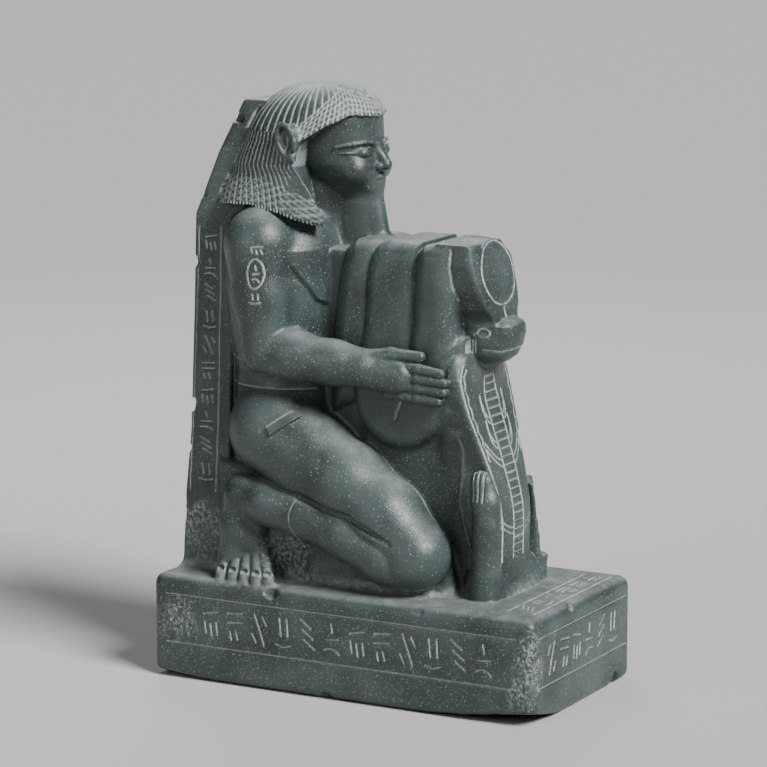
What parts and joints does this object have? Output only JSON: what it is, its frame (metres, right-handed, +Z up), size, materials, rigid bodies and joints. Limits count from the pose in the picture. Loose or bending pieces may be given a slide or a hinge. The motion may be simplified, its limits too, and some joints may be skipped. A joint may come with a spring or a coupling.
{
  "type": "kneeling stone statue of a steward presenting a coiled cobra",
  "caption": "Ancient kneeling steward of dark stone on a rounded plinth, back pillar behind, hands on a coiled cobra with a horned sun disc.",
  "frame": {"origin": "centre of the plinth's footprint, on its flat underside", "axes": "+Z up, -Y the way the figure faces, +X its left-hand side"},
  "size_m": [0.178, 0.339, 0.472],
  "materials": {
    "dark_stone": "satin polished dark granite with pale dust in the carved lines"
  },
  "bodies": {
    "root": {"kneeling_steward_statue": "dark_stone"}
  },
  "joints": []
}
